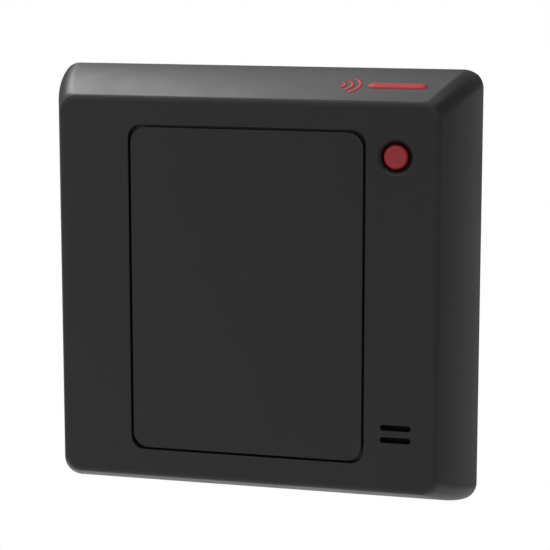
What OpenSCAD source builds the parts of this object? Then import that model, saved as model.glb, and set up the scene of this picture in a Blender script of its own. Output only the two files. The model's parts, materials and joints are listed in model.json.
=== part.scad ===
// Square wall-mounted card reader.
// Millimetres. X runs to the right, Y into the wall, Z up. The origin is the centre of the
// wall plate's rear face, so the face of the reader looks along -Y.

/* [Case] */
// Width and height of the case where it meets the wall
case_w = 86.2; // [85:0.1:87]
// Depth of the case, from the wall to its face
case_d = 17.5; // [17:0.1:18.5]
// How far each side has leaned in by the time it reaches the face
side_lean = 5.44; // [5:0.02:5.8]
// How far the sides bulge out of a straight lean, as a share of it
side_bulge = 0.105; // [0:0.005:0.15]
// Corner radius of the case at the wall
back_corner_r = 3.8; // [3:0.1:5]
// Corner radius of the case at its face
face_corner_r = 3.1; // [2.5:0.1:4]
// Radius that softens the edge round the face
face_edge_r = 1.36; // [0.6:0.02:1.6]
// Thickness of the side walls
side_wall = 2.2; // [2:0.1:2.4]
// Thickness of the front wall
front_wall = 2.5; // [2.3:0.1:2.7]

/* [Face] */
// Width of the panel insert
panel_w = 46.26; // [40:0.02:46.5]
// Height of the panel insert
panel_h = 63.76; // [50:0.02:64]
// Corner radius of the panel insert
panel_corner_r = 3.1; // [1:0.1:4]
// Gap between the panel insert and its pocket
panel_gap = 0.48; // [0.2:0.02:0.6]
// Corner radius of the panel's pocket
pocket_corner_r = 2.7; // [1:0.1:4]
// Place of the status lens, to the right of the middle
lens_x = 29.3; // [28.8:0.1:30]
// Place of the status lens, above the middle
lens_z = 27.4; // [20:0.1:28]
// Diameter of the status lens
lens_d = 4.7; // [4:0.1:5]
// Diameter of the hole round the lens
lens_hole_d = 5.5; // [5.2:0.1:5.8]
// Diameter of the countersunk lip round the lens
lens_lip_d = 7; // [6.2:0.1:7.2]
// Place of the sounder slots, to the right of the middle
slot_x = 29.8; // [29:0.1:30]
// Height of the middle between the two slots
slot_z = -26.1; // [-27:0.1:-20]
// Distance between the two slots
slot_pitch = 2.42; // [2:0.02:3]
// Length of a slot
slot_l = 6; // [4:0.1:7]
// Width of a slot
slot_w = 1.15; // [0.8:0.05:1.4]

/* [Wall plate] */
// Thickness of the wall plate
plate_t = 2; // [1.8:0.1:2.2]
// Distance between the two fixing slots
fixing_pitch = 60.3; // [50:0.1:64]
// Width of a fixing slot
fixing_w = 3.9; // [3.5:0.1:4.5]
// Length of a fixing slot
fixing_l = 8; // [6:0.5:9]
// Width of the cable opening
cable_w = 28; // [20:1:30]
// Height of the cable opening
cable_h = 14; // [10:1:15]
// Distance from the middle down to the centre of the cable opening
cable_drop = 16; // [14:0.5:17]

/* [Electronics] */
// Depth of the main board's rear side from the wall
board_y = 9.9; // [9.7:0.1:10]
// Thickness of the main board
board_t = 1.6; // [1.2:0.1:1.6]
// Depth of the rear cover's outer side from the wall
rear_cover_y = 5.4; // [5.3:0.1:5.5]
// Thickness of the rear cover
rear_cover_t = 1.5; // [1.2:0.1:1.6]
// Number of terminals
terminals = 6; // [4:1:7]
// Distance between two terminals
terminal_pitch = 3.5; // [3.5:0.1:3.8]

/* [Moving parts] */
// Height of the hinge line of the top hooks
hinge_z = 41; // [40.9:0.05:41.1]
// Depth of the hinge line from the wall
hinge_y = 1.6; // [1.5:0.05:1.7]
// Radius of the nose of each hook
hook_r = 0.8; // [0.7:0.05:0.85]
// Radial clearance of the hooks in their seats
hook_clear = 0.06; // [0.03:0.01:0.1]
// Radius of the tamper plunger
plunger_r = 2; // [1.8:0.05:2.2]
// Travel of the tamper plunger
plunger_travel = 1.5; // [1:0.1:1.5]
// Radius of the lock screw
lock_r = 1.5; // [1.4:0.05:1.5]

/* [Hidden] */
$fn = 64;
eps = 0.01;

// Depths, all along -Y from the wall
face_y = -case_d;
inner_face_y = face_y + front_wall;
rim_gap = 0.2;
board_back = -board_y;
board_front = board_back - board_t;
cover_back = -rear_cover_y;
cover_front = cover_back - rear_cover_t;
seal_t = 0.7;
ledge_back = cover_front - seal_t;
ledge_t = 1.2;

// Pocket, tape and panel
pocket_depth = 1.6;
tape_t = 0.2;
pocket_floor = face_y + pocket_depth;
window_w = panel_w - 5;
window_h = panel_h - 5;
window_r = 1.5;

// Sizes of the flat inner pieces, across the flats
board_w = 72;
cover_w = 77.8;
cover_r = 2;
seal_w = 1.5;
ledge_inner_w = 74.4;
plate_w = 79.8;
plate_r = 2;

// Corner bosses take the rear cover's screws, side bosses take the board's
corner_boss = 33.8;
corner_boss_r = 2.9;
cover_screw_r = 1.2;
side_boss_x = 31.5;
side_boss_z = 12;
side_boss_r = 2.5;
board_screw_r = 1;
pilot_clear = 0.03;
hole_clear = 0.25;

// Antenna winding
coil_w = 45.4;
coil_h = 62;
coil_band = 2.9;
coil_t = 1.6;
former_flange = 0.5;
former_wall = 1;
ferrite_t = 0.3;

// Terminal block and the wiring bay that it stands in
block_w = terminals * terminal_pitch;
block_h = 8.5;
block_top = 5.5;
block_t = 6.3;
bay_w = 32;
bay_top = 7;
bay_bottom = -26;
bay_wall = 1.2;

// Tamper switch
tamper_x = -25;
tamper_z = -22;
tamper_w = 8.4;
tamper_back = -4.6;
tamper_floor = -9.2;
tamper_roof = -5.6;
tamper_cavity_r = 3.1;
flange_r = tamper_cavity_r - 0.15;
flange_t = 0.8;
flange_back = tamper_roof - plunger_travel - 0.2;
plunger_back = -0.05;
plunger_bore_r = 1.3;
plunger_bore_back = -2.5;
plunger_clear = 0.04;
spring_r = 1;
spring_wire_r = 0.15;
spring_turns = 7;

// Hooks, lock lug and lock screw
hook_x = 24;
hook_w = 8;
hook_t = 1.4;
lock_y = -2.7;
lock_clear = 0.05;
lug_w = 12;
lug_back_z = -37.6;
lug_h = 2.8;
lug_front = -4.9;
lock_boss_w = 9.2;
lock_boss_top = -38.1;
bush_r = 1.8;
bush_l = 3.1;
lock_tip_z = lug_back_z - 0.25;
lock_end_z = -42.2;
hex_af = 1.5;

// Inward lean of a side at depth y
function depth_share(y) = max(0, min(1, -y / case_d));
function lean(y) = let (t = depth_share(y)) side_lean * (t - 4 * side_bulge * t * (1 - t));
function half_at(y) = case_w / 2 - lean(y);
function corner_at(y) = back_corner_r + (face_corner_r - back_corner_r) * depth_share(y);

// Edge round the face: an arc tangent to the face and to the end of the side's curve
edge_slope = atan(side_lean * (1 + 4 * side_bulge) / case_d);
edge_sweep = 90 - edge_slope;
edge_run = face_edge_r * tan(edge_sweep / 2);
side_end = face_y + edge_run * cos(edge_slope);

// Slices of the outside, each [y, half width, corner radius]
side_steps = 6;
edge_steps = 4;
side_slices = [for (i = [0 : side_steps])
    let (y = -rim_gap + (side_end + rim_gap) * i / side_steps)
    [y, half_at(y), corner_at(y)]];
edge_slices = [for (i = [1 : edge_steps])
    let (a = edge_sweep * (1 - i / edge_steps),
         in = edge_run - face_edge_r * sin(a))
    [face_y + face_edge_r * (1 - cos(a)), half_at(face_y) - in, face_corner_r - in]];
outer_slices = concat(side_slices, edge_slices);
inner_slices = [for (i = [0 : side_steps])
    let (y = 1 + (inner_face_y - 1) * i / side_steps)
    [y, half_at(y) - side_wall, corner_at(y) - side_wall / 2]];

// Extrudes a flat outline, drawn in X and Z, from depth y0 (near the wall) to y1
module slab(y0, y1) {
    translate([0, y0, 0]) rotate([90, 0, 0]) linear_extrude(y0 - y1) children();
}

// Cylinder along Y from y0 to y1
module rod(x, z, r, y0, y1) {
    translate([x, y0, z]) rotate([90, 0, 0]) cylinder(r = r, h = y0 - y1);
}

module rounded_rect(w, h, r) {
    square([w, h - 2 * r], center = true);
    square([w - 2 * r, h], center = true);
    for (sx = [-1, 1], sz = [-1, 1])
        translate([sx * (w / 2 - r), sz * (h / 2 - r)]) circle(r);
}

module stadium(l, w) {
    square([l - w, w], center = true);
    for (s = [-1, 1]) translate([s * (l - w) / 2, 0]) circle(d = w);
}

// Smooth body through a stack of rounded square slices
module shell_form(slices) {
    hull()
        for (s = slices)
            for (sx = [-1, 1], sz = [-1, 1])
                translate([sx * (s[1] - s[2]), s[0], sz * (s[1] - s[2])])
                    rotate([90, 0, 0]) cylinder(r = s[2], h = eps, $fn = 48);
}

module at_corner_bosses() {
    for (sx = [-1, 1], sz = [-1, 1]) translate([sx * corner_boss, 0, sz * corner_boss]) children();
}

module at_side_bosses() {
    for (sx = [-1, 1], sz = [-1, 1]) translate([sx * side_boss_x, 0, sz * side_boss_z]) children();
}

// Chip body with a row of legs along two or four sides, standing on the board's rear side
module chip(x, z, w, h, t, legs, sides = [0, 90, 180, 270]) {
    foot = 0.1;
    leg_w = 0.25;
    leg_out = 0.9;
    translate([x, board_back, z]) {
        translate([-w / 2, foot, -h / 2]) cube([w, t, h]);
        for (turn = sides, i = [0 : legs - 1]) rotate([0, turn, 0])
            translate([(i - (legs - 1) / 2) * (w - 1) / (legs - 1) - leg_w / 2, 0, h / 2 - 0.2])
                cube([leg_w, 0.3, leg_out + 0.2]);
    }
}

// Plain block on the board's rear side
module block(x, z, w, h, t) {
    translate([x - w / 2, board_back, z - h / 2]) cube([w, t, h]);
}

// Pan-head screw pointing along -Y, its head resting on depth y
module screw(y, r, head_r, head_h, l) {
    difference() {
        union() {
            rod(0, 0, r, y + eps, y - l);
            rod(0, 0, head_r, y + head_h, y);
        }
        for (turn = [0, 90]) translate([0, y + head_h, 0]) rotate([0, turn, 0])
            translate([-head_r * 0.6, -head_h * 0.55, -0.25]) cube([head_r * 1.2, head_h, 0.5]);
    }
}

// Outline of the shallow pockets in the wall plate's rear face; ribs stay between them
module rear_pockets() {
    reach = plate_w / 2 - 3.5;
    rib = 3;
    band = 7;
    frame = cable_w / 2 + 4.5;
    for (s = [-1, 1]) {
        translate([s * (reach + rib / 2) / 2, (reach + band) / 2])
            rounded_rect(reach - rib / 2, reach - band, 1.5);
        difference() {
            translate([s * (reach + frame) / 2, -(reach + band) / 2])
                rounded_rect(reach - frame, reach - band, 1.5);
            translate([tamper_x, tamper_z]) circle(plunger_r + 4);
        }
    }
    translate([0, (lug_back_z + lug_h - cable_drop - cable_h / 2) / 2 - 0.25])
        rounded_rect(cable_w, cable_h / 2 - 1.5, 1.5);
}

module wall_plate() color([0.09, 0.09, 0.10]) {
    difference() {
        union() {
            slab(0, -plate_t) rounded_rect(plate_w, plate_w, plate_r);
            translate([-lug_w / 2, lug_front, lug_back_z]) cube([lug_w, -lug_front - eps, lug_h]);
            for (s = [-1, 1]) translate([s * hook_x - hook_w / 2, -hinge_y, 0]) {
                translate([0, -hook_t / 2, plate_w / 2 - 1]) cube([hook_w, hook_t, hinge_z - plate_w / 2 + 1]);
                translate([0, 0, hinge_z]) rotate([0, 90, 0]) cylinder(r = hook_r, h = hook_w);
            }
            for (s = [-1, 1])
                slab(-plate_t + eps, -plate_t - 0.8) translate([s * fixing_pitch / 2, 0])
                    stadium(fixing_l + 4, fixing_w + 4);
        }
        for (s = [-1, 1])
            slab(1, -plate_t - 2) translate([s * fixing_pitch / 2, 0]) stadium(fixing_l, fixing_w);
        slab(1, -plate_t - 1) translate([0, -cable_drop]) rounded_rect(cable_w, cable_h, 3);
        rod(tamper_x, tamper_z, plunger_r + 2, 1, -plate_t - 1);
        slab(1, -0.5) rear_pockets();
        translate([-lug_w / 2 - 0.5, -plate_t - 1, -plate_w / 2 - 1])
            cube([lug_w + 1, plate_t + 2, lug_back_z + plate_w / 2 + 1]);
        translate([0, lock_y, lug_back_z - 1]) cylinder(r = lock_r - 0.2, h = lug_h + 2);
    }
}

// Open seats in the top wall, in which the hooks' noses turn
module hook_seats() {
    seat_w = hook_w + 0.8;
    seat_r = hook_r + hook_clear;
    for (s = [-1, 1]) translate([s * hook_x - seat_w / 2, -hinge_y, hinge_z]) {
        rotate([0, 90, 0]) cylinder(r = seat_r, h = seat_w);
        translate([0, -seat_r, -3]) cube([seat_w, seat_r + hinge_y + 1, 3]);
    }
}

// Bevel along the top rear edge, so that it clears the wall while the reader swings
module swing_bevel() {
    low = hinge_z + 0.6;
    translate([-case_w / 2 - 1, 0, 0]) rotate([90, 0, 90]) linear_extrude(case_w + 2)
        polygon([[-rim_gap, low], [1, low], [1, low + 3], [-rim_gap - 1.41, low + 3]]);
}

module front_cover() color([0.13, 0.13, 0.135]) {
    difference() {
        union() {
            difference() {
                shell_form(outer_slices);
                shell_form(inner_slices);
            }
            difference() {
                slab(ledge_back, ledge_back - ledge_t)
                    rounded_rect(ledge_inner_w + 5.6, ledge_inner_w + 5.6, 3);
                slab(ledge_back + 1, ledge_back - ledge_t - 1)
                    rounded_rect(ledge_inner_w, ledge_inner_w, 1.5);
            }
            at_corner_bosses() rod(0, 0, corner_boss_r, cover_front, inner_face_y - 0.5);
            at_side_bosses() rod(0, 0, side_boss_r, board_front, inner_face_y - 0.5);
            translate([-lock_boss_w / 2, lug_front, -42]) cube([lock_boss_w, -lug_front - 0.4, 42 + lock_boss_top]);
        }
        at_corner_bosses() rod(0, 0, cover_screw_r + pilot_clear, cover_front + 1, -13.6);
        at_side_bosses() rod(0, 0, board_screw_r + pilot_clear, board_front + 1, inner_face_y - 0.8);
        slab(pocket_floor, face_y - 1)
            rounded_rect(panel_w + 2 * panel_gap, panel_h + 2 * panel_gap, pocket_corner_r);
        slab(inner_face_y + 1, face_y - 1) rounded_rect(window_w, window_h, window_r);
        rod(lens_x, lens_z, lens_hole_d / 2, inner_face_y + 1, face_y - 1);
        translate([lens_x, face_y, lens_z]) rotate([90, 0, 0]) translate([0, 0, -0.7])
            rotate_extrude() polygon([[0, 0], [lens_hole_d / 2 - eps, 0], [lens_lip_d / 2, 0.7],
                [lens_lip_d / 2, 1.7], [0, 1.7]]);
        for (s = [-1, 1]) slab(inner_face_y + 1, face_y - 1)
            translate([slot_x, slot_z + s * slot_pitch / 2]) stadium(slot_l, slot_w);
        hook_seats();
        swing_bevel();
        translate([0, lock_y, -case_w / 2 - 1]) cylinder(r = lock_r + 0.2, h = 6);
        translate([0, lock_y, lock_boss_top - bush_l]) cylinder(r = bush_r, h = bush_l + 1);
    }
}

module panel_insert() color([0.13, 0.13, 0.135]) {
    back = pocket_floor - tape_t;
    rib = 1.2;
    slab(back, face_y) rounded_rect(panel_w, panel_h, panel_corner_r);
    difference() {
        slab(inner_face_y, back - eps) rounded_rect(window_w - 0.4, window_h - 0.4, window_r);
        slab(inner_face_y + 1, back)
            rounded_rect(window_w - 0.4 - 2 * rib, window_h - 0.4 - 2 * rib, window_r / 2);
    }
}

module panel_tape() color([0.75, 0.72, 0.6]) {
    difference() {
        slab(pocket_floor, pocket_floor - tape_t) rounded_rect(panel_w - 0.6, panel_h - 0.6, panel_corner_r);
        slab(0, face_y) rounded_rect(window_w + 0.6, window_h + 0.6, window_r);
    }
}

lens_seal_t = 0.6;
lens_flange_t = 0.8;
lens_flange_r = 3.7;
lens_flange_back = inner_face_y + lens_seal_t + lens_flange_t;

module status_lens() color([0.5, 0.1, 0.1]) {
    rim = 0.3;
    barrel = lens_d / 2;
    translate([lens_x, face_y, lens_z]) rotate([-90, 0, 0]) rotate_extrude() union() {
        square([barrel - rim, lens_flange_back - face_y]);
        translate([0, rim]) square([barrel, lens_flange_back - face_y - rim]);
        translate([barrel - rim, rim]) circle(rim);
        translate([0, front_wall + lens_seal_t]) square([lens_flange_r, lens_flange_t]);
    }
}

module lens_seal() color([0.05, 0.05, 0.05]) {
    difference() {
        rod(lens_x, lens_z, 3.5, inner_face_y + lens_seal_t, inner_face_y);
        rod(lens_x, lens_z, lens_d / 2 + 0.1, 0, face_y);
    }
}

module led_spacer() color([0.85, 0.85, 0.83]) {
    difference() {
        rod(lens_x, lens_z, 3.6, board_front, lens_flange_back);
        rod(lens_x, lens_z, 2.5, 0, face_y);
    }
}

module status_led() color([0.95, 0.94, 0.88]) {
    translate([lens_x - 1.6, board_front - 0.7, lens_z - 1.4]) cube([3.2, 0.7, 2.8]);
    translate([lens_x, board_front - 0.7, lens_z]) rotate([90, 0, 0]) rotate_extrude()
        intersection() {
            translate([0, -0.35]) circle(1.25);
            square([2, 2]);
        }
}

sounder_r = 4.75;
sounder_t = 2.8;

module sounder() color([0.08, 0.08, 0.08]) {
    difference() {
        union() {
            rod(slot_x, slot_z, sounder_r, board_front - 0.4, board_front - sounder_t);
            translate([slot_x - sounder_r, board_front - 0.5, slot_z - sounder_r])
                cube([2 * sounder_r, 0.5, 2 * sounder_r]);
        }
        rod(slot_x, slot_z, 1, board_front - 1.6, face_y);
    }
}

module sounder_gasket() color([0.1, 0.1, 0.1]) {
    difference() {
        rod(slot_x, slot_z, 4.6, board_front - sounder_t, inner_face_y + 0.15);
        rod(slot_x, slot_z, 3.5, 0, face_y);
    }
}

module sound_mesh() color([0.05, 0.05, 0.05]) {
    rod(slot_x, slot_z, 4.6, inner_face_y + 0.15, inner_face_y);
}

module ferrite_sheet() color([0.2, 0.2, 0.21]) {
    slab(board_front, board_front - ferrite_t) rounded_rect(coil_w + 1, coil_h + 1, 2);
}

former_back = board_front - ferrite_t;
coil_back = former_back - former_flange;
former_front = coil_back - coil_t - former_flange;
core_w = coil_w - 2 * coil_band;
core_h = coil_h - 2 * coil_band;

module coil_former() color([0.8, 0.78, 0.7]) {
    difference() {
        union() {
            for (y = [former_back, coil_back - coil_t])
                slab(y, y - former_flange) rounded_rect(coil_w + 0.8, coil_h + 0.8, 4);
            slab(former_back, former_front) rounded_rect(core_w - 0.1, core_h - 0.1, 2.4);
        }
        slab(0, face_y) rounded_rect(core_w - 0.1 - 2 * former_wall, core_h - 0.1 - 2 * former_wall, 1.6);
    }
}

module antenna_coil() color([0.72, 0.38, 0.16]) {
    difference() {
        slab(coil_back, coil_back - coil_t) rounded_rect(coil_w, coil_h, 2.5 + coil_band);
        slab(0, face_y) rounded_rect(core_w, core_h, 2.5);
    }
}

module main_board() color([0.05, 0.3, 0.14]) {
    difference() {
        slab(board_back, board_front) rounded_rect(board_w, board_w, 1.5);
        at_corner_bosses() rod(0, 0, corner_boss_r + 0.6, 0, face_y);
        at_side_bosses() rod(0, 0, board_screw_r + hole_clear, 0, face_y);
    }
}

module board_screws() color([0.72, 0.73, 0.75]) {
    at_side_bosses() screw(board_back, board_screw_r, 2, 1.3, 4.8);
}

module microcontroller() color([0.07, 0.07, 0.07]) chip(0, 20, 7, 7, 1.4, 12);

module reader_chip() color([0.07, 0.07, 0.07]) chip(-14, 22, 5, 5, 0.9, 8);

module voltage_regulator() color([0.08, 0.08, 0.08]) chip(25.5, 4, 6, 3.6, 1.6, 4, [0, 180]);

module crystal() color([0.75, 0.75, 0.76]) {
    block(-24, 22, 6.4, 3.4, 0.4);
    block(-24, 22, 5, 3.2, 1.2);
}

module power_inductor() color([0.2, 0.2, 0.2]) {
    difference() {
        block(24, 22, 6.4, 6.4, 2.7);
        for (sx = [-1, 1], sz = [-1, 1])
            translate([24 + sx * 3.6, board_back - 1, 22 + sz * 3.6]) rotate([0, 45, 0])
                translate([-1, 0, -1]) cube([2, 5, 2]);
    }
    rod(24, 22, 1.9, board_back + 2.8, board_back + 2.6);
}

module capacitors() color([0.78, 0.62, 0.2]) {
    for (z = [-8, -14.5]) block(24.5, z, 7.3, 4.3, 2.7);
    for (x = [10, 14]) block(x, 28, 1.6, 3.2, 1.3);
}

module surge_protectors() color([0.12, 0.12, 0.12]) {
    for (z = [-20, -24, -28]) block(23.5, z, 4.4, 2.6, 2.2);
}

function terminal_at(i) = (i - (terminals - 1) / 2) * terminal_pitch;

module terminal_block() color([0.1, 0.35, 0.16]) {
    entry = 2.4;
    difference() {
        block(0, block_top - block_h / 2, block_w, block_h, block_t);
        for (i = [0 : terminals - 1]) {
            translate([terminal_at(i) - entry / 2, board_back + 1, block_top - block_h - 1])
                cube([entry, 3, 6]);
            rod(terminal_at(i), block_top - 3.4, 1.3, board_back + block_t + 1, board_back + 4 - eps);
        }
        translate([-block_w / 2 - 1, board_back + block_t - 1.2, block_top - block_h - 1])
            cube([block_w + 2, 2, 2.6]);
    }
}

module terminal_screws() color([0.78, 0.78, 0.76]) {
    for (i = [0 : terminals - 1]) translate([terminal_at(i), 0, block_top - 3.4]) difference() {
        rod(0, 0, 1.2, board_back + 5.5, board_back + 4.1);
        translate([-1.3, board_back + 5, -0.2]) cube([2.6, 1, 0.4]);
    }
}

module terminal_clamps() color([0.7, 0.7, 0.68]) {
    for (i = [0 : terminals - 1]) translate([terminal_at(i) - 1.1, board_back + 1.1, block_top - block_h + 1.4])
        difference() {
            cube([2.2, 2.7, 3.4]);
            translate([0.4, 0.4, -1]) cube([1.4, 1.9, 6]);
        }
}

module tamper_housing() color([0.12, 0.12, 0.13]) {
    difference() {
        translate([tamper_x - tamper_w / 2, tamper_floor, tamper_z - tamper_w / 2])
            cube([tamper_w, tamper_back - tamper_floor, tamper_w]);
        rod(tamper_x, tamper_z, tamper_cavity_r, tamper_roof, tamper_floor - 1);
        rod(tamper_x, tamper_z, plunger_r + plunger_clear, 0, tamper_roof - 1);
    }
}

module tamper_base() color([0.6, 0.12, 0.1]) {
    translate([tamper_x - tamper_w / 2, board_back, tamper_z - tamper_w / 2])
        cube([tamper_w, tamper_floor - board_back, tamper_w]);
}

// Coil spring along Y, as one swept tube
module tamper_spring() color([0.75, 0.75, 0.77]) {
    ring = 8;
    per_turn = 18;
    steps = spring_turns * per_turn;
    low = tamper_floor + spring_wire_r + 0.02;
    high = plunger_bore_back - spring_wire_r - 0.05;
    points = [for (i = [0 : steps], j = [0 : ring - 1])
        let (a = 360 * i / per_turn, b = 360 * j / ring,
             r = spring_r + spring_wire_r * cos(b))
        [r * cos(a), low + (high - low) * i / steps + spring_wire_r * sin(b), r * sin(a)]];
    sides = [for (i = [0 : steps - 1], j = [0 : ring - 1])
        let (k = (j + 1) % ring)
        [i * ring + j, i * ring + k, (i + 1) * ring + k, (i + 1) * ring + j]];
    first = [for (j = [ring - 1 : -1 : 0]) j];
    last = [for (j = [0 : ring - 1]) steps * ring + j];
    translate([tamper_x, 0, tamper_z]) polyhedron(points, concat(sides, [first, last]), convexity = 10);
}

module tamper_plunger() color([0.85, 0.84, 0.8]) {
    tip = 0.4;
    translate([tamper_x, 0, tamper_z]) rotate([90, 0, 0]) difference() {
        rotate_extrude() union() {
            translate([0, -plunger_back]) square([plunger_r - tip, 1]);
            translate([plunger_r - tip, tip - plunger_back]) circle(tip);
            translate([0, tip - plunger_back]) square([plunger_r, -flange_back - tip + plunger_back]);
            translate([0, -flange_back]) square([flange_r, flange_t]);
        }
        translate([0, 0, -plunger_bore_back]) cylinder(r = plunger_bore_r, h = 10);
    }
}

module rear_cover() color([0.11, 0.11, 0.115]) {
    bay_z = (bay_top + bay_bottom) / 2;
    bay_h = bay_top - bay_bottom;
    difference() {
        union() {
            slab(cover_back, cover_front) rounded_rect(cover_w, cover_w, cover_r);
            slab(cover_front + eps, board_back + 0.2) translate([0, bay_z])
                rounded_rect(bay_w + 2 * bay_wall, bay_h + 2 * bay_wall, 2.2);
        }
        slab(0, face_y) translate([0, bay_z]) rounded_rect(bay_w, bay_h, 1);
        at_corner_bosses() rod(0, 0, cover_screw_r + hole_clear, 0, face_y);
        translate([tamper_x - tamper_w / 2 - 0.4, face_y, tamper_z - tamper_w / 2 - 0.4])
            cube([tamper_w + 0.8, case_d, tamper_w + 0.8]);
    }
}

module perimeter_seal() color([0.06, 0.06, 0.06]) {
    difference() {
        slab(cover_front, ledge_back) rounded_rect(cover_w, cover_w, cover_r);
        slab(0, face_y) rounded_rect(cover_w - 2 * seal_w, cover_w - 2 * seal_w, 0.8);
    }
}

module rear_cover_screws() color([0.72, 0.73, 0.75]) {
    at_corner_bosses() screw(cover_back, cover_screw_r, 2.3, 1.4, 7);
}

module lock_bush() color([0.78, 0.62, 0.3]) {
    translate([0, lock_y, lock_boss_top - bush_l]) difference() {
        cylinder(r = bush_r, h = bush_l);
        translate([0, 0, -1]) cylinder(r = lock_r + lock_clear, h = bush_l + 2);
    }
}

module lock_screw() color([0.7, 0.7, 0.72]) {
    tip_l = 0.8;
    translate([0, lock_y, lock_end_z]) difference() {
        union() {
            cylinder(r = lock_r, h = lock_tip_z - tip_l - lock_end_z);
            cylinder(r = lock_r - 0.4, h = lock_tip_z - lock_end_z);
        }
        translate([0, 0, -1]) cylinder(d = hex_af / cos(30), h = 2.5, $fn = 6);
    }
}

wall_plate();
front_cover();
panel_insert();
panel_tape();
status_lens();
lens_seal();
led_spacer();
status_led();
sounder();
sounder_gasket();
sound_mesh();
ferrite_sheet();
coil_former();
antenna_coil();
main_board();
board_screws();
microcontroller();
reader_chip();
crystal();
power_inductor();
voltage_regulator();
capacitors();
surge_protectors();
terminal_block();
terminal_screws();
terminal_clamps();
tamper_housing();
tamper_base();
tamper_spring();
tamper_plunger();
rear_cover();
perimeter_seal();
rear_cover_screws();
lock_bush();
lock_screw();
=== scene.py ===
"""Looks of the wall-mounted card reader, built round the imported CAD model.

Everything is in metres in the CAD's frame: X to the right, Y into the wall, Z up, with the
origin at the centre of the wall plate's rear face. Lengths below are written in millimetres
and turned into metres where points are made.
"""

import json
import math

import bmesh
import bpy
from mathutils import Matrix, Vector


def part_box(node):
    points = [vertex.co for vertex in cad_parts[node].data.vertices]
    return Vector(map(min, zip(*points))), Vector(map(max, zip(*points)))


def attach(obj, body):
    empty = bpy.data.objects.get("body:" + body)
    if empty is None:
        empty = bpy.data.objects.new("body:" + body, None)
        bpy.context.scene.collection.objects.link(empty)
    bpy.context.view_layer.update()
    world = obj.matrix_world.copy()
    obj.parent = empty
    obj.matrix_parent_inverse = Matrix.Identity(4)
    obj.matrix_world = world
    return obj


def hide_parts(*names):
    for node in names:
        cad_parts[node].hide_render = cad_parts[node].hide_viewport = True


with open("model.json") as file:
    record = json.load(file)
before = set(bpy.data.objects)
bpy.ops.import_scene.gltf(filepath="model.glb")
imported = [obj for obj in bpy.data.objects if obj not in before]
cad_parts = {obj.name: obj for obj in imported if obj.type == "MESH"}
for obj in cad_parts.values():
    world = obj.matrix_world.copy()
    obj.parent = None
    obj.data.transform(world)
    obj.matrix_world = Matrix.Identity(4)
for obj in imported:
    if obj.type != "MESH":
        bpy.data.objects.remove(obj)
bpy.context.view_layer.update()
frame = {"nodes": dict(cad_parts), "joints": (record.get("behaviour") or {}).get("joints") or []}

MM = 0.001

# ---------------------------------------------------------------- sizes, in millimetres
CASE_HALF = 43.1
SIDE_LEAN = 5.44
SIDE_BULGE = 0.105
BACK_CORNER = 3.8
FACE_CORNER = 3.1
EDGE_RADIUS = 1.36
RIM_RADIUS = 0.15
SIDE_WALL = 2.2
FRONT_WALL = 2.5
POCKET_DEPTH = 1.6
POCKET_LIP = 0.16
TAPE = 0.2
PANEL_GAP = 0.48
PANEL_CORNER = 3.1
PANEL_EDGE = 0.13
PANEL_RIB = 1.2
POCKET_CORNER = 2.7
WINDOW_INSET = 2.5
WINDOW_CORNER = 1.5
LENS_R = 2.35
LENS_HOLE_R = 2.75
LENS_LIP_R = 3.5
LENS_LIP_DEPTH = 0.75
LENS_LIP_SOFT = 0.25
SLOT_LENGTH = 6.0
SLOT_WIDTH = 1.15
SLOT_PITCH = 2.42
SLOT_MID = (29.8, -26.1)
SLOT_LIP = 0.12
CORNER_BOSS = (33.8, 2.9)
SIDE_BOSS = ((31.5, 12.0), 2.5)
HOOK_X = 24.0
HOOK_SEAT = (8.8, 0.86)
LOCK_Y = -2.7
OVERCUT = 1.0
CORNER_STEPS = 20

# ---------------------------------------------------------------- colours and gloss
CASE_ROUGHNESS = 0.36
CASE_IOR_LEVEL = 0.5
CASE_COLOUR = (0.0135, 0.0140, 0.0135)
LENS_DARK = (0.365, 0.009, 0.011)
LENS_LIGHT = (0.400, 0.011, 0.013)
MARK_INK = (0.53, 0.026, 0.028)


def in_mm(node):
    """Lowest and highest corner of a CAD node, in millimetres."""
    low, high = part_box(node)
    return low / MM, high / MM


cover_low, cover_high = in_mm("front_cover")
panel_low, panel_high = in_mm("panel_insert")
lens_low, lens_high = in_mm("status_lens")
seal_low, seal_high = in_mm("perimeter_seal")
board_low, board_high = in_mm("main_board")
coil_low, coil_high = in_mm("antenna_coil")
lock_low, lock_high = in_mm("lock_bush")
FACE_Y = cover_low.y
RIM_Y = cover_high.y
DEPTH = -FACE_Y
INNER_FACE_Y = FACE_Y + FRONT_WALL
PANEL_HALF = (panel_high.x, panel_high.z)
WINDOW_HALF = (PANEL_HALF[0] - WINDOW_INSET, PANEL_HALF[1] - WINDOW_INSET)
LENS_MID = ((lens_low.x + lens_high.x) / 2, (lens_low.z + lens_high.z) / 2)
HINGE_Y, HINGE_Z = [frame["joints"][0]["pos_m"][i] / MM for i in (1, 2)]


# ---------------------------------------------------------------- shape of the case
def lean(y):
    """How far a side has leaned in at depth y."""
    t = min(max(-y / DEPTH, 0.0), 1.0)
    return SIDE_LEAN * (t - 4 * SIDE_BULGE * t * (1 - t))


def corner_radius(y):
    """Radius of the outline's corners at depth y."""
    t = min(max(-y / DEPTH, 0.0), 1.0)
    return BACK_CORNER + (FACE_CORNER - BACK_CORNER) * t


def side_slope(y):
    """Angle of a side from the Y axis at depth y, in radians."""
    t = min(max(-y / DEPTH, 0.0), 1.0)
    return math.atan(SIDE_LEAN * (1 - 4 * SIDE_BULGE * (1 - 2 * t)) / DEPTH)


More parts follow.
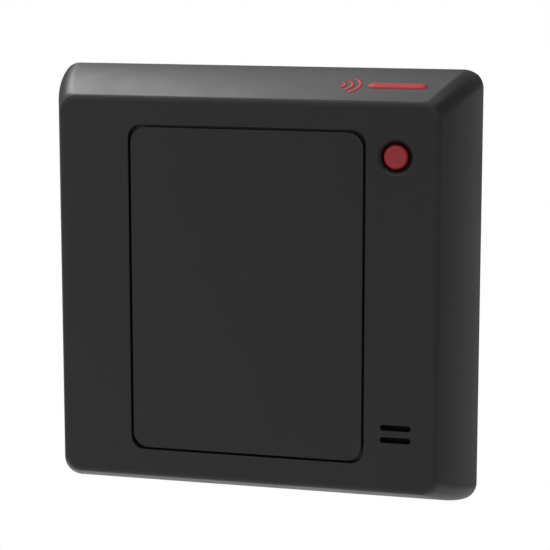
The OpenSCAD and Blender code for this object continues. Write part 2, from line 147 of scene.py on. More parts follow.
# ---------------------------------------------------------------- mesh helpers
def outline(half_w, half_h, radius, steps=CORNER_STEPS, centre=(0.0, 0.0)):
    """Rounded rectangle in X and Z, anticlockwise as seen from the front."""
    points = []
    for quarter, (sx, sz) in enumerate(((1, 1), (-1, 1), (-1, -1), (1, -1))):
        for i in range(steps + 1):
            a = math.pi / 2 * (quarter + i / steps)
            points.append((centre[0] + sx * (half_w - radius) + radius * math.cos(a),
                           centre[1] + sz * (half_h - radius) + radius * math.sin(a)))
    return points


def ring(bm, points, y):
    """Vertices at depth y, one for each (x, z)."""
    return [bm.verts.new((x * MM, y * MM, z * MM)) for x, z in points]


def loft(bm, rings, cap_first=True, cap_last=True):
    """Joins rings of the same length into one skin, and closes its ends."""
    for a, b in zip(rings, rings[1:]):
        for i in range(len(a)):
            j = (i + 1) % len(a)
            bm.faces.new((a[i], a[j], b[j], b[i]))
    if cap_first:
        bm.faces.new(rings[0])
    if cap_last:
        bm.faces.new(rings[-1])


def stack(bm, rows, centre=(0.0, 0.0), steps=CORNER_STEPS, **caps):
    """Lofts rounded rectangles given as (half width, half height, radius, y)."""
    rings = [ring(bm, outline(w, h, r, steps, centre), y) for w, h, r, y in rows]
    loft(bm, rings, **caps)


def finish_mesh(bm, name):
    """Makes an object of a bmesh, with its faces turned outwards."""
    bmesh.ops.remove_doubles(bm, verts=bm.verts, dist=1e-7)
    bmesh.ops.recalc_face_normals(bm, faces=bm.faces)
    for face in bm.faces:
        face.smooth = True
    mesh = bpy.data.meshes.new(name)
    bm.to_mesh(mesh)
    bm.free()
    piece = bpy.data.objects.new(name, mesh)
    bpy.context.scene.collection.objects.link(piece)
    return piece


def combine(target, tool, how):
    """Applies one exact boolean to target and throws the tool away."""
    step = target.modifiers.new("cut", "BOOLEAN")
    step.operation = how
    step.solver = "EXACT"
    step.object = tool
    graph = bpy.context.evaluated_depsgraph_get()
    mesh = bpy.data.meshes.new_from_object(target.evaluated_get(graph))
    target.modifiers.remove(step)
    old, target.data = target.data, mesh
    bpy.data.meshes.remove(old)
    bpy.data.objects.remove(tool, do_unlink=True)


def slab(name, half_w, half_h, radius, y0, y1):
    """Closed plate with rounded corners, between two depths."""
    bm = bmesh.new()
    stack(bm, [(half_w, half_h, radius, y0), (half_w, half_h, radius, y1)])
    return finish_mesh(bm, name)


def prisms_x(name, profiles):
    """Closed prisms along X. Each profile is (x0, x1, [(y, z), ...])."""
    bm = bmesh.new()
    for x0, x1, points in profiles:
        loft(bm, [[bm.verts.new((x * MM, y * MM, z * MM)) for y, z in points] for x in (x0, x1)])
    return finish_mesh(bm, name)


def rods_y(name, places, radius, y0, y1):
    """Closed cylinders along Y at each (x, z)."""
    bm = bmesh.new()
    for place in places:
        stack(bm, [(radius, radius, radius, y) for y in (y0, y1)], place, 12)
    return finish_mesh(bm, name)


def rod_z(name, x, y, radius, z0, z1, spans=48):
    """Closed cylinder along Z."""
    bm = bmesh.new()
    turns = [2 * math.pi * i / spans for i in range(spans)]
    loft(bm, [[bm.verts.new(((x + radius * math.cos(a)) * MM, (y + radius * math.sin(a)) * MM, z * MM))
               for a in turns] for z in (z0, z1)])
    return finish_mesh(bm, name)


def lathe(name, x, z, profile, spans=96):
    """Solid of revolution about a line along Y. The profile is (radius, y), with its ends closed."""
    bm = bmesh.new()
    turns = [2 * math.pi * i / spans for i in range(spans)]
    loft(bm, [[bm.verts.new(((x + r * math.cos(a)) * MM, y * MM, (z + r * math.sin(a)) * MM))
               for a in turns] for r, y in profile])
    return finish_mesh(bm, name)


def shade(piece, angle=35.0):
    """Creases stay sharp and the rest shades smoothly, led by the large faces."""
    piece.data.set_sharp_from_angle(angle=math.radians(angle))
    weigh = piece.modifiers.new("normals", "WEIGHTED_NORMAL")
    weigh.keep_sharp = True
    weigh.weight = 90


# ---------------------------------------------------------------- front cover
def outer_rows():
    """(half width, half height, radius, y) from the rim to the face, with both edges rounded."""
    rim_rows, side_rows, edge_rows = 5, 26, 10
    rows = []
    for i in range(rim_rows + 1):
        a = math.pi / 2 * i / rim_rows
        inset = RIM_RADIUS * (1 - math.sin(a))
        y = RIM_Y - RIM_RADIUS * (1 - math.cos(a))
        half = CASE_HALF - lean(y) - inset
        rows.append((half, half, corner_radius(y) - inset, y))
    slope = side_slope(FACE_Y)
    sweep = math.pi / 2 - slope
    edge_run = EDGE_RADIUS * math.tan(sweep / 2)
    side_start, side_end = rows[-1][3], FACE_Y + edge_run * math.cos(slope)
    for i in range(1, side_rows + 1):
        y = side_start + (side_end - side_start) * i / side_rows
        half = CASE_HALF - lean(y)
        rows.append((half, half, corner_radius(y), y))
    for i in range(1, edge_rows + 1):
        a = sweep * (1 - i / edge_rows)
        inset = edge_run - EDGE_RADIUS * math.sin(a)
        half = CASE_HALF - SIDE_LEAN - inset
        rows.append((half, half, FACE_CORNER - inset, FACE_Y + EDGE_RADIUS * (1 - math.cos(a))))
    return rows


def sink(name, centre, half_w, half_h, radius, lip, depth):
    """Tool that cuts a recess into the face. Its lip is a list of (how far out, how deep)."""
    steps = [(lip[0][0], -1.0)] + lip + [(0.0, depth)]
    rows = [(half_w + out, half_h + out, radius + out, FACE_Y + deep) for out, deep in steps]
    bm = bmesh.new()
    stack(bm, rows, centre)
    return finish_mesh(bm, name)


def rounded_lip(size, steps=8):
    """A quarter round, as (how far out, how deep)."""
    turns = [math.pi / 2 * i / steps for i in range(steps + 1)]
    return [(size * (1 - math.sin(a)), size * (1 - math.cos(a))) for a in turns]


def countersink(width, depth, soft, steps=6):
    """A cone whose outer edge is rounded with radius soft."""
    slope = math.atan2(depth, width)
    start = width + soft * math.tan(slope / 2)
    turns = [slope * i / steps for i in range(steps + 1)]
    return [(start - soft * math.sin(a), soft * (1 - math.cos(a))) for a in turns] + [(0.0, depth)]


def case_body():
    """The case before it is hollowed: its outside, and the recesses in its face."""
    bm = bmesh.new()
    stack(bm, outer_rows())
    body = finish_mesh(bm, "front_case")
    through = FRONT_WALL + 0.6
    pocket_half = (PANEL_HALF[0] + PANEL_GAP, PANEL_HALF[1] + PANEL_GAP)
    lens_lip = countersink(LENS_LIP_R - LENS_HOLE_R, LENS_LIP_DEPTH, LENS_LIP_SOFT)
    slot_half = (SLOT_LENGTH / 2, SLOT_WIDTH / 2)
    tools = [
        sink("pocket", (0, 0), *pocket_half, POCKET_CORNER, rounded_lip(POCKET_LIP), POCKET_DEPTH),
        sink("lens_hole", LENS_MID, LENS_HOLE_R, LENS_HOLE_R, LENS_HOLE_R, lens_lip, through),
    ]
    for side in (-1, 1):
        middle = (SLOT_MID[0], SLOT_MID[1] + side * SLOT_PITCH / 2)
        tools.append(sink("slot", middle, *slot_half, slot_half[1], rounded_lip(SLOT_LIP), through))
    for tool in tools:
        combine(body, tool, "DIFFERENCE")
    return body


def cavity():
    """The hollow inside the case, with a rounded edge behind the face."""
    round_in = 0.8
    rows = [(CASE_HALF - lean(y) - SIDE_WALL,) * 2 + (corner_radius(y) - SIDE_WALL / 2, y)
            for y in (1.0, 0.0, -2.0, -4.0, -6.0, -8.0, -10.0, -12.0, INNER_FACE_Y + round_in)]
    half, _, radius, y = rows[-1]
    for i in range(1, 6):
        a = math.pi / 2 * i / 5
        inset = round_in * (1 - math.cos(a))
        rows.append((half - inset, half - inset, radius - inset / 2, y - round_in * math.sin(a)))
    bm = bmesh.new()
    stack(bm, rows)
    return finish_mesh(bm, "cavity")


def seal_ledge():
    """The frame inside the case that the rear cover's seal presses on."""
    inner, outer = seal_high.x - 1.7, seal_high.x + 1.1
    inner_corner, outer_corner, thick = 1.5, 3, 1.2
    back = seal_low.y
    front = back - thick
    rows = [(outer, outer, outer_corner, back), (outer, outer, outer_corner, front),
            (inner, inner, inner_corner, front), (inner, inner, inner_corner, back),
            (outer, outer, outer_corner, back)]
    bm = bmesh.new()
    stack(bm, rows, cap_first=False, cap_last=False)
    return finish_mesh(bm, "ledge")


def add_screw_bosses(case):
    """Corner bosses for the rear cover's screws, posts for the board's, and their blind holes."""
    corner, corner_r = CORNER_BOSS
    side, side_r = SIDE_BOSS
    corner_hole_r, corner_hole_end = 1.23, -13.6
    side_hole_r, side_hole_end = 1.03, INNER_FACE_Y - 0.8
    corners = [(sx * corner, sz * corner) for sx in (-1, 1) for sz in (-1, 1)]
    sides = [(sx * side[0], sz * side[1]) for sx in (-1, 1) for sz in (-1, 1)]
    root = INNER_FACE_Y - 0.5
    corner_mouth, side_mouth = seal_high.y + OVERCUT, board_low.y + OVERCUT
    for how, name, places, radius, y0, y1 in (
            ("UNION", "bosses", corners, corner_r, seal_high.y, root),
            ("UNION", "posts", sides, side_r, board_low.y, root),
            ("DIFFERENCE", "pilots", corners, corner_hole_r, corner_mouth, corner_hole_end),
            ("DIFFERENCE", "holes", sides, side_hole_r, side_mouth, side_hole_end)):
        combine(case, rods_y(name, places, radius, y0, y1), how)


def add_lock_boss(case):
    """Block on the bottom wall with the set screw's way through it and the bush's seat."""
    half, front, back, root = 4.6, -4.9, -0.4, -42
    way_r, way_low, way_high = 1.7, -44, -37.5
    seat_r = 1.8
    block = [(front, root), (back, root), (back, lock_high.z), (front, lock_high.z)]
    combine(case, prisms_x("lock_boss", [(-half, half, block)]), "UNION")
    combine(case, rod_z("lock_way", 0, LOCK_Y, way_r, way_low, way_high), "DIFFERENCE")
    combine(case, rod_z("bush_seat", 0, LOCK_Y, seat_r, lock_low.z, lock_high.z + OVERCUT), "DIFFERENCE")


def cut_hook_seats(case):
    """Round seats for the wall plate's two hooks, and the open way down into each."""
    seat_w, seat_r = HOOK_SEAT
    spans, way_height = 32, 3
    turns = [2 * math.pi * i / spans for i in range(spans)]
    nose = [(HINGE_Y + seat_r * math.cos(a), HINGE_Z + seat_r * math.sin(a)) for a in turns]
    way = [(HINGE_Y - seat_r, HINGE_Z - way_height), (OVERCUT, HINGE_Z - way_height),
           (OVERCUT, HINGE_Z), (HINGE_Y - seat_r, HINGE_Z)]
    for profile, name in ((nose, "seats"), (way, "seat_ways")):
        prisms = [(s * HOOK_X - seat_w / 2, s * HOOK_X + seat_w / 2, profile) for s in (-1, 1)]
        combine(case, prisms_x(name, prisms), "DIFFERENCE")


def cut_swing_bevel(case):
    """Bevel along the top of the rim, which clears the wall while the reader swings up."""
    half, low, rise, run = 50, HINGE_Z + 0.6, 3, 1.43
    bevel = [(RIM_Y, low), (OVERCUT, low), (OVERCUT, low + rise), (RIM_Y - run, low + rise)]
    combine(case, prisms_x("bevel", [(-half, half, bevel)]), "DIFFERENCE")


def make_front_case():
    """The front cover as one moulded shell: walls, ledge, bosses, lock boss and hook seats."""
    case = case_body()
    combine(case, cavity(), "DIFFERENCE")
    window = slab("window", *WINDOW_HALF, WINDOW_CORNER, INNER_FACE_Y + OVERCUT, FACE_Y - OVERCUT)
    combine(case, window, "DIFFERENCE")
    combine(case, seal_ledge(), "UNION")
    add_screw_bosses(case)
    add_lock_boss(case)
    cut_hook_seats(case)
    cut_swing_bevel(case)
    shade(case)
    return case


# ---------------------------------------------------------------- panel insert and lens
def make_panel():
    """Flush insert with a softened edge, and the locating rib behind it."""
    half_w, half_h = PANEL_HALF
    rib_w, rib_h = WINDOW_HALF[0] - 0.2, WINDOW_HALF[1] - 0.2
    inner_w, inner_h = rib_w - PANEL_RIB, rib_h - PANEL_RIB
    rib_corner, inner_corner = WINDOW_CORNER, 0.75
    back, rib_end = FACE_Y + POCKET_DEPTH - TAPE, panel_high.y
    edge_rows = 6
    rows = []
    for i in range(edge_rows + 1):
        a = math.pi / 2 * i / edge_rows
        inset = PANEL_EDGE * (1 - math.sin(a))
        y = FACE_Y + PANEL_EDGE * (1 - math.cos(a))
        rows.append((half_w - inset, half_h - inset, PANEL_CORNER - inset, y))
    rows += [(half_w, half_h, PANEL_CORNER, back),
             (rib_w, rib_h, rib_corner, back), (rib_w, rib_h, rib_corner, rib_end),
             (inner_w, inner_h, inner_corner, rib_end), (inner_w, inner_h, inner_corner, back)]
    bm = bmesh.new()
    stack(bm, rows)
    panel = finish_mesh(bm, "front_panel")
    shade(panel)
    return panel


def arc_profile(start_r, start_y, radius, from_deg, to_deg, steps):
    """Profile points along an arc that starts at (start_r, start_y) and turns rearward."""
    first = math.radians(from_deg)
    points = []
    for i in range(1, steps + 1):
        turn = math.radians(from_deg + (to_deg - from_deg) * i / steps)
        points.append((start_r + radius * (math.sin(turn) - math.sin(first)),
                       start_y + radius * (math.cos(first) - math.cos(turn))))
    return points


def make_lens():
    """Round lens: flat top with a soft shoulder, chamfer, plain barrel, and a flange inside."""
    middle_r, flat_r = 0.02, 1.70
    shoulder, shoulder_r, chamfer, turn_r, soft = 9, 1.2, 48, 0.14, 0.1
    seal, flange, flange_r, nick = 0.6, 0.8, 3.7, 0.1
    profile = [(middle_r, FACE_Y), (flat_r * 0.5, FACE_Y), (flat_r, FACE_Y)]
    profile += arc_profile(*profile[-1], shoulder_r, 0, shoulder, 4)
    profile += arc_profile(*profile[-1], turn_r, shoulder, chamfer, 6)
    last_r, last_y = profile[-1]
    slope = math.radians(chamfer)
    edge_r = LENS_R - soft * (1 - math.sin(slope))
    profile.append((edge_r, last_y + (edge_r - last_r) * math.tan(slope)))
    profile += arc_profile(*profile[-1], soft, chamfer, 90, 4)
    front = INNER_FACE_Y + seal
    back = front + flange
    profile += [(LENS_R, front), (flange_r - nick, front), (flange_r, front + nick),
                (flange_r, back - nick), (flange_r - nick, back), (middle_r, back)]
    lens = lathe("red_lens", *LENS_MID, profile)
    shade(lens, 50)
    return lens


# ---------------------------------------------------------------- printed mark on the top side
def on_top(x, y, lift=0.02):
    """A point just above the top side, at x and depth y."""
    slope = side_slope(y)
    z = CASE_HALF - lean(y)
    return Vector((x, y - lift * math.sin(slope), z + lift * math.cos(slope))) * MM


def print_strip(bm, line, width):
    """A flat printed stroke on the top side, with rounded ends, along (x, y) points."""
    points = [Vector(p) for p in line]
    cap = 6
    ahead, behind = points[-1] - points[-2], points[0] - points[1]
    left, right = [], []
    for i, p in enumerate(points):
        d = (points[min(i + 1, len(points) - 1)] - points[max(i - 1, 0)]).normalized()
        side = Vector((-d.y, d.x)) * width / 2
        left.append(p + side)
        right.append(p - side)
    centre = [bm.verts.new(on_top(*p)) for p in points]
    sides = [[bm.verts.new(on_top(*p)) for p in row] for row in (left, right)]
    for row in sides:
        for i in range(len(points) - 1):
            bm.faces.new((centre[i], centre[i + 1], row[i + 1], row[i]))
    for tip, out, at in ((points[-1], ahead, -1), (points[0], behind, 0)):
        base = math.atan2(out.y, out.x)
        fan = [sides[0 if at else 1][at]]
        for i in range(1, cap):
            a = base + math.pi / 2 - math.pi * i / cap
            x, y = tip.x + width / 2 * math.cos(a), tip.y + width / 2 * math.sin(a)
            fan.append(bm.verts.new(on_top(x, y)))
        fan.append(sides[1 if at else 0][at])
        for a, b in zip(fan, fan[1:]):
            bm.faces.new((centre[at], a, b))


def make_mark():
    """A plain mark where readers carry a print: three waves beside a bar."""
    mid_y, left_x = -10.8, 16.6
    wave_width, wave_flat, wave_steps = 0.75, 0.9, 8
    bar_start, bar_step, bar_points, bar_width = 7.2, 0.9, 11, 2.6
    sweep = math.radians(48)
    bm = bmesh.new()
    for radius in (1.4, 2.9, 4.4):
        turns = [sweep * (i / wave_steps - 1) for i in range(2 * wave_steps + 1)]
        arc = [(left_x + radius * math.cos(a), mid_y + radius * wave_flat * math.sin(a)) for a in turns]
        print_strip(bm, arc, wave_width)
    bar = [(left_x + bar_start + i * bar_step, mid_y) for i in range(bar_points)]
    print_strip(bm, bar, bar_width)
    mark = finish_mesh(bm, "printed_mark")
    thick = mark.modifiers.new("ink", "SOLIDIFY")
    thick.thickness = 0.03 * MM
    thick.offset = 0
    return mark


# ---------------------------------------------------------------- antenna winding
def make_winding():
    """Rectangular winding, with every layer of wire showing as a ridge."""
    half_w, half_h = coil_high.x, coil_high.z
    band, core_radius, wire = 2.9, 2.5, 0.2
    tall, wide = round((coil_high.y - coil_low.y) / wire), round(band / wire)
    per_wire = 4
    hide = 0.45 * wire
    rows = []

    def bump(i):
        return hide * abs(math.sin(math.pi * i / per_wire))

    def row(inset, y):
        rows.append((half_w - inset, half_h - inset, core_radius + band - inset, y))

    for i in range(tall * per_wire + 1):
        row(hide - bump(i), coil_high.y - i * wire / per_wire)
    for i in range(1, wide * per_wire):
        row(i * wire / per_wire, coil_low.y + hide - bump(i))
    for i in range(tall * per_wire + 1):
        row(band - hide + bump(i), coil_low.y + i * wire / per_wire)
    for i in range(1, wide * per_wire):
        row(band - i * wire / per_wire, coil_high.y - hide + bump(i))
    rows.append(rows[0])
    bm = bmesh.new()
    stack(bm, rows, steps=7, cap_first=False, cap_last=False)
    return finish_mesh(bm, "copper_winding")


# ---------------------------------------------------------------- materials
def new_material(name):
    """A node material with its nodes, its links and its shader."""
    made = bpy.data.materials.new(name)
    made.use_nodes = True
    return made, made.node_tree.nodes, made.node_tree.links, made.node_tree.nodes["Principled BSDF"]


def noise(nodes, links, place, scale, detail=3.0, stretch=None):
    """Noise texture over object coordinates. scale is in features per metre."""
    texture = nodes.new("ShaderNodeTexNoise")
    texture.inputs["Scale"].default_value = scale
    texture.inputs["Detail"].default_value = detail
    source = place.outputs["Object"]
    if stretch:
        mapping = nodes.new("ShaderNodeMapping")
        mapping.inputs["Scale"].default_value = stretch
        links.new(source, mapping.inputs["Vector"])
        source = mapping.outputs["Vector"]
    links.new(source, texture.inputs["Vector"])
    return texture.outputs["Fac"]


def spread(nodes, links, value, low, high, from_low=0.3, from_high=0.7):
    """Maps a noise value onto a range."""
    ranged = nodes.new("ShaderNodeMapRange")
    for key, number in (("From Min", from_low), ("From Max", from_high),
                        ("To Min", low), ("To Max", high)):
        ranged.inputs[key].default_value = number
    links.new(value, ranged.inputs["Value"])
    return ranged.outputs["Result"]


def blend_colours(nodes, links, factor, dark, light):
    """Mixes two colours by a factor from 0 to 1."""
    mix = nodes.new("ShaderNodeMix")
    mix.data_type = "RGBA"
    mix.inputs["A"].default_value = (*dark, 1)
    mix.inputs["B"].default_value = (*light, 1)
    links.new(factor, mix.inputs["Factor"])
    return mix.outputs["Result"]


def add_bump(nodes, links, shader, heights, depth):
    """Chains bumps of one depth in millimetres: heights is a list of (value, strength)."""
    normal = None
    for value, strength in heights:
        bump = nodes.new("ShaderNodeBump")
        bump.inputs["Strength"].default_value = strength
        bump.inputs["Distance"].default_value = depth * MM
        links.new(value, bump.inputs["Height"])
        if normal:
            links.new(normal, bump.inputs["Normal"])
        normal = bump.outputs["Normal"]
    links.new(normal, shader.inputs["Normal"])


def surface(name, colour, roughness, metallic=0.0, grain=2500.0, relief=0.3, shift=0.12,
            ior_level=0.5, coat=0.0, stretch=None):
    """Moulded, plated or coated surface: fine grain, cloudy colour and uneven gloss."""
    gloss_shift, depth = 0.05, 0.02
    made, nodes, links, shader = new_material(name)
    place = nodes.new("ShaderNodeTexCoord")
    fine = noise(nodes, links, place, grain, 2.0, stretch)
    cloud = noise(nodes, links, place, 90.0, 4.0)
    smear = noise(nodes, links, place, 320.0, 5.0, stretch)
    dark = [c * (1 - shift) for c in colour]
    light = [c * (1 + shift) for c in colour]
    tone = blend_colours(nodes, links, spread(nodes, links, cloud, 0, 1), dark, light)
    links.new(tone, shader.inputs["Base Color"])
    gloss = spread(nodes, links, smear, roughness - gloss_shift, roughness + gloss_shift)
    links.new(gloss, shader.inputs["Roughness"])
    shader.inputs["Metallic"].default_value = metallic
    shader.inputs["Specular IOR Level"].default_value = ior_level
    shader.inputs["Coat Weight"].default_value = coat
    add_bump(nodes, links, shader, [(fine, relief), (smear, relief * 0.3)], depth)
    return made


def case_plastic(name, colour, grain):
    """Satin charcoal moulding with a spark-eroded grain, and a painted highlight: patches along the face's
    front edge are lightened.
    """
    made, nodes, links, shader = new_material(name)
    place = nodes.new("ShaderNodeTexCoord")
    fine = noise(nodes, links, place, grain, 2.5)
    cells = nodes.new("ShaderNodeTexVoronoi")
    cells.inputs["Scale"].default_value = grain * 0.8
    links.new(place.outputs["Object"], cells.inputs["Vector"])
    cloud = noise(nodes, links, place, 45.0, 5.0)
    wipe = noise(nodes, links, place, 150.0, 5.0, (1.0, 1.0, 0.35))
    split = nodes.new("ShaderNodeSeparateXYZ")
    links.new(place.outputs["Object"], split.inputs["Vector"])

    def maths(operation, a, b=None):
        node = nodes.new("ShaderNodeMath")
        node.operation = operation
        for socket, value in zip(node.inputs, (a, b)):
            if isinstance(value, float):
                socket.default_value = value
            elif value is not None:
                links.new(value, socket)
        return node.outputs["Value"]

    # Painted highlight: the colour is lightened in noisy patches within 0.6 mm of the face's front edge,
    # standing in for the light the crease catches.
    reach = maths("MAXIMUM", maths("ABSOLUTE", split.outputs["X"]), maths("ABSOLUTE", split.outputs["Z"]))
    edge_at = (CASE_HALF - SIDE_LEAN - 0.35) * MM
    off_edge = maths("ABSOLUTE", maths("SUBTRACT", reach, edge_at))
    near_edge = spread(nodes, links, off_edge, 1.0, 0.0, 0.0, 0.6 * MM)
    patchy = spread(nodes, links, noise(nodes, links, place, 700.0, 5.0), 0.0, 1.0, 0.42, 0.75)
    painted_edge_highlight = maths("MULTIPLY", maths("MULTIPLY", near_edge, patchy), 0.35)
    base = blend_colours(nodes, links, spread(nodes, links, cloud, 0, 1),
                         [c * 0.94 for c in colour], [c * 1.06 for c in colour])
    # Mixes in the painted edge highlight, at 1.8 times the base colour.
    mix = nodes.new("ShaderNodeMix")
    mix.data_type = "RGBA"
    mix.inputs["B"].default_value = (*[c * 1.8 for c in colour], 1)
    links.new(painted_edge_highlight, mix.inputs["Factor"])
    links.new(base, mix.inputs["A"])
    links.new(mix.outputs["Result"], shader.inputs["Base Color"])
    gloss = spread(nodes, links, wipe, CASE_ROUGHNESS - 0.03, CASE_ROUGHNESS + 0.03)
    links.new(gloss, shader.inputs["Roughness"])
    shader.inputs["Specular IOR Level"].default_value = CASE_IOR_LEVEL
    add_bump(nodes, links, shader, [(fine, 0.10), (cells.outputs["Distance"], 0.06)], 0.012)
    return made


def lens_plastic():
    """Clear red plastic, milky inside, with a polished skin."""
    made, nodes, links, shader = new_material("lens_plastic")
    place = nodes.new("ShaderNodeTexCoord")
    cloud = noise(nodes, links, place, 900.0, 3.0)
    tone = blend_colours(nodes, links, spread(nodes, links, cloud, 0, 1), LENS_DARK, LENS_LIGHT)
    links.new(tone, shader.inputs["Base Color"])
    gloss = spread(nodes, links, noise(nodes, links, place, 1600.0), 0.3, 0.38)
    links.new(gloss, shader.inputs["Roughness"])
    shader.inputs["Subsurface Weight"].default_value = 0.7
    shader.inputs["Subsurface Scale"].default_value = 0.002
    shader.inputs["Subsurface Radius"].default_value = (1.0, 0.1, 0.1)
    shader.inputs["Coat Weight"].default_value = 0.8
    shader.inputs["Coat Roughness"].default_value = 0.14
    add_bump(nodes, links, shader, [(noise(nodes, links, place, 3500.0, 2.0), 0.05)], 0.01)
    return made


def board_mask():
    """Green solder mask with traces under it and a faint weave."""
    made, nodes, links, shader = new_material("solder_mask")
    place = nodes.new("ShaderNodeTexCoord")
    turn = nodes.new("ShaderNodeMapping")
    turn.inputs["Rotation"].default_value = (math.radians(90), 0, 0)
    links.new(place.outputs["Object"], turn.inputs["Vector"])
    tracks = nodes.new("ShaderNodeTexBrick")
    for key, number in (("Scale", 260.0), ("Mortar Size", 0.09), ("Mortar Smooth", 0.2),
                        ("Brick Width", 1.7), ("Row Height", 0.32)):
        tracks.inputs[key].default_value = number
    tracks.inputs["Color1"].default_value = (0.012, 0.085, 0.035, 1)
    tracks.inputs["Color2"].default_value = (0.016, 0.105, 0.045, 1)
    tracks.inputs["Mortar"].default_value = (0.035, 0.2, 0.08, 1)
    links.new(turn.outputs["Vector"], tracks.inputs["Vector"])
    links.new(tracks.outputs["Color"], shader.inputs["Base Color"])
    gloss = spread(nodes, links, noise(nodes, links, place, 500.0), 0.22, 0.34)
    links.new(gloss, shader.inputs["Roughness"])
    shader.inputs["Coat Weight"].default_value = 0.4
    weave = noise(nodes, links, place, 2200.0, 1.0)
    add_bump(nodes, links, shader, [(tracks.outputs["Fac"], 0.4), (weave, 0.08)], 0.03)
    return made


def paint(thing, made):
    """Gives a piece one material."""
    thing.data.materials.clear()
    thing.data.materials.append(made)


def refine(node):
    """Gives a carried-over CAD node softened edges, by modifiers alone."""
    width = 0.12
    thing = frame["nodes"][node]
    weld = thing.modifiers.new("weld", "WELD")
    weld.merge_threshold = 0.002 * MM
    flat = thing.modifiers.new("flat", "DECIMATE")
    flat.decimate_type = "DISSOLVE"
    flat.angle_limit = math.radians(2)
    edge = thing.modifiers.new("edge", "BEVEL")
    edge.width = width * MM
    edge.segments = 2
    edge.limit_method = "ANGLE"
    edge.angle_limit = math.radians(40)
    for face in thing.data.polygons:
        face.use_smooth = True
    weigh = thing.modifiers.new("normals", "WEIGHTED_NORMAL")
    weigh.weight = 95


# ---------------------------------------------------------------- pieces
case = make_front_case()
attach(case, "reader_head")
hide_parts("front_cover")
paint(case, case_plastic("case_plastic", CASE_COLOUR, 3200.0))

panel = make_panel()
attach(panel, "reader_head")
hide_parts("panel_insert")
paint(panel, case_plastic("panel_plastic", CASE_COLOUR, 3000.0))

lens = make_lens()
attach(lens, "reader_head")
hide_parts("status_lens")
paint(lens, lens_plastic())

mark = make_mark()
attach(mark, "reader_head")
paint(mark, surface("mark_ink", MARK_INK, 0.5, grain=1800.0, relief=0.15, ior_level=0.4))

winding = make_winding()
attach(winding, "reader_head")
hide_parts("antenna_coil")
paint(winding, surface("enamelled_wire", (0.62, 0.22, 0.07), 0.28, metallic=0.85, grain=1500.0,
                       relief=0.1, coat=0.5))

black_base = surface("base_moulding", (0.018, 0.018, 0.019), 0.5, grain=1800.0, relief=0.35, shift=0.1)
rubber = surface("soft_black", (0.012, 0.012, 0.012), 0.75, grain=2600.0, relief=0.4)
nylon = surface("white_nylon", (0.72, 0.71, 0.66), 0.45, grain=1600.0, relief=0.2, shift=0.05)
epoxy = surface("chip_epoxy", (0.016, 0.016, 0.017), 0.6, grain=5200.0, relief=0.35)
ferrite = surface("sintered_ferrite", (0.05, 0.05, 0.054), 0.65, grain=4200.0, relief=0.45)
zinc = surface("zinc_plate", (0.56, 0.57, 0.60), 0.3, metallic=1.0, grain=2200.0, relief=0.12,
               stretch=(1.0, 0.2, 1.0))
finishes = {
    "wall_plate": black_base,
    "rear_cover": surface("cover_moulding", (0.022, 0.022, 0.023), 0.47, grain=2100.0, relief=0.3,
                          shift=0.1),
    "tamper_housing": black_base,
    "lens_seal": rubber,
    "perimeter_seal": rubber,
    "sounder_gasket": rubber,
    "sound_mesh": surface("woven_mesh", (0.006, 0.006, 0.006), 0.8, grain=6000.0, relief=0.6),
    "panel_tape": surface("adhesive_tape", (0.55, 0.5, 0.38), 0.6, grain=1200.0, relief=0.2),
    "led_spacer": nylon,
    "coil_former": nylon,
    "tamper_plunger": nylon,
    "status_led": surface("lamp_body", (0.78, 0.76, 0.66), 0.4, grain=2000.0, relief=0.15, shift=0.04),
    "main_board": board_mask(),
    "ferrite_sheet": ferrite,
    "power_inductor": ferrite,
    "microcontroller": epoxy,
    "reader_chip": epoxy,
    "voltage_regulator": epoxy,
    "surge_protectors": epoxy,
    "sounder": surface("sounder_case", (0.014, 0.014, 0.014), 0.4, grain=2400.0, relief=0.2),
    "capacitors": surface("tantalum_case", (0.5, 0.32, 0.07), 0.5, grain=3200.0, relief=0.3),
    "terminal_block": surface("terminal_moulding", (0.03, 0.19, 0.06), 0.38, grain=1900.0, relief=0.2),
    "tamper_base": surface("switch_base", (0.32, 0.03, 0.025), 0.45, grain=1900.0, relief=0.2),
    "board_screws": zinc,
    "rear_cover_screws": zinc,
    "terminal_screws": zinc,
    "terminal_clamps": zinc,
    "crystal": surface("crystal_can", (0.6, 0.6, 0.62), 0.25, metallic=1.0, grain=1500.0, relief=0.1,
                       stretch=(0.2, 1.0, 1.0)),
    "tamper_spring": zinc,
    "lock_screw": surface("blued_steel", (0.34, 0.34, 0.36), 0.32, metallic=1.0, grain=2600.0, relief=0.15),
    "lock_bush": surface("turned_brass", (0.62, 0.42, 0.14), 0.28, metallic=1.0, grain=3000.0, relief=0.2,
                         stretch=(0.1, 0.1, 1.0)),
}
for node, made in finishes.items():
    paint(frame["nodes"][node], made)
for node in ("wall_plate", "rear_cover", "tamper_housing", "terminal_block", "microcontroller",
             "reader_chip", "voltage_regulator", "surge_protectors", "capacitors", "crystal"):
    refine(node)


# ---------------------------------------------------------------- floor, lights, camera
def make_floor():
    """A plain pale disc well below the reader."""
    spans, radius, height = 96, 700.0, -320.0
    turns = [2 * math.pi * i / spans for i in range(spans)]
    bm = bmesh.new()
    bm.faces.new([bm.verts.new((radius * math.cos(a) * MM, radius * math.sin(a) * MM, height * MM))
                  for a in turns])
    floor = finish_mesh(bm, "floor")
    paint(floor, surface("pale_floor", (0.86, 0.86, 0.86), 0.7, grain=60.0, relief=0.02, shift=0.01))


def softbox(name, direction, size, power):
    """Rectangular light 1.3 m away that points at the reader's middle, unseen by the camera."""
    distance = 1.3
    lamp = bpy.data.lights.new(name, "AREA")
    lamp.shape = "RECTANGLE"
    lamp.size, lamp.size_y = size
    lamp.energy = power
    holder = bpy.data.objects.new(name, lamp)
    away = Vector(direction).normalized()
    holder.location = away * distance
    holder.rotation_mode = "QUATERNION"
    holder.rotation_quaternion = away.to_track_quat("Z", "Y")
    holder.visible_camera = False
    bpy.context.scene.collection.objects.link(holder)


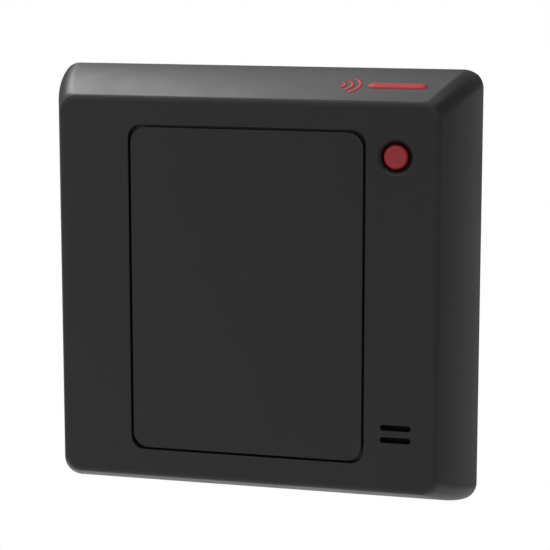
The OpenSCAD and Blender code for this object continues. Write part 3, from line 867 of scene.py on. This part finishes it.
def make_world(studio):
    """White to look at, and an even dim studio to be lit by."""
    world = bpy.data.worlds.new("studio")
    world.use_nodes = True
    nodes, links = world.node_tree.nodes, world.node_tree.links
    nodes.clear()
    seen = nodes.new("ShaderNodeBackground")
    seen.inputs["Color"].default_value = (1, 1, 1, 1)
    lit = nodes.new("ShaderNodeBackground")
    lit.inputs["Color"].default_value = (studio, studio, studio, 1)
    path = nodes.new("ShaderNodeLightPath")
    mix = nodes.new("ShaderNodeMixShader")
    out = nodes.new("ShaderNodeOutputWorld")
    links.new(path.outputs["Is Camera Ray"], mix.inputs["Fac"])
    links.new(lit.outputs["Background"], mix.inputs[1])
    links.new(seen.outputs["Background"], mix.inputs[2])
    links.new(mix.outputs["Shader"], out.inputs["Surface"])
    bpy.context.scene.world = world


def make_camera():
    """Camera a little above and to the right of the reader, level in roll."""
    data = bpy.data.cameras.new("camera")
    data.sensor_width = 36.0
    data.lens = 131.95
    data.clip_start, data.clip_end = 0.01, 50.0
    camera = bpy.data.objects.new("camera", data)
    camera.location = (0.103997, -0.387105, 0.070388)
    yaw, pitch = math.radians(14.859), math.radians(9.849)
    ahead = Vector((-math.sin(yaw) * math.cos(pitch), math.cos(yaw) * math.cos(pitch), -math.sin(pitch)))
    camera.rotation_mode = "QUATERNION"
    camera.rotation_quaternion = ahead.to_track_quat("-Z", "Y")
    bpy.context.scene.collection.objects.link(camera)
    bpy.context.scene.camera = camera


make_floor()
make_world(0.178)
softbox("key", (-0.5, 0.5, 0.7), (0.6, 0.6), 3.7)
softbox("key_left", (-0.7, 0.1, 0.7), (1.4, 1.4), 3.5)
softbox("key_rear", (-0.3, 0.65, 0.7), (0.6, 0.6), 0.9)
softbox("top", (0.0, 0.0, 1.0), (1.6, 1.6), 5.3)
softbox("front", (-0.1, -1.0, 0.1), (2.2, 2.0), 2.35)
softbox("front_high", (0.0, -0.75, 0.66), (2.0, 1.4), 2.65)
softbox("front_low", (0.0, -0.8, -0.5), (2.0, 1.0), 0.8)
softbox("left_front", (-0.8, -0.6, 0.1), (1.6, 1.6), 2.5)
softbox("left_rear", (-0.9, 0.35, 0.0), (0.6, 0.6), 0.7)
softbox("right_front", (0.8, -0.6, 0.1), (1.6, 1.6), 0.85)
softbox("right", (1.0, -0.1, 0.0), (1.2, 1.2), 0.65)
softbox("right_rear", (0.2, 1.0, -0.15), (0.5, 0.5), 0.7)
softbox("right_side", (0.65, 0.75, -0.12), (0.6, 0.6), 0.24)
softbox("rear_high", (0.15, 0.9, 0.4), (0.6, 0.6), 0.25)
make_camera()
bpy.context.scene.view_settings.view_transform = "Standard"
